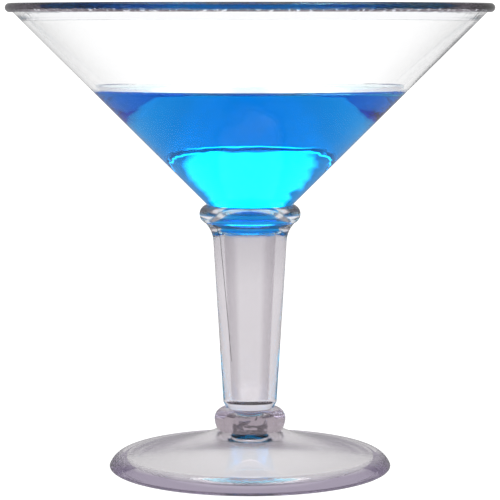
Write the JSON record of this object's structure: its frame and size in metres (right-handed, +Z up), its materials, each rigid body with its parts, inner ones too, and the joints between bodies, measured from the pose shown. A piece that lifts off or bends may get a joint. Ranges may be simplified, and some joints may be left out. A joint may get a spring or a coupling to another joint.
{
  "type": "martini glass",
  "caption": "Short-stemmed cocktail glass with a wide conical bowl, beaded lip, collared tapered stem and domed foot.",
  "frame": {"origin": "on the table, under the centre of the foot", "axes": "+Z up along the glass's axis of revolution"},
  "size_m": [0.12, 0.12, 0.1162],
  "materials": {
    "clear_plastic": "polished",
    "lilac_plastic": "polished",
    "clear_cement": "polished"
  },
  "bodies": {
    "root": {"bowl": "clear_plastic", "bowl_cement": "clear_cement", "upper_collar": "lilac_plastic", "stem": "lilac_plastic", "lower_collar": "lilac_plastic", "foot_cement": "clear_cement", "foot": "lilac_plastic"}
  },
  "joints": []
}
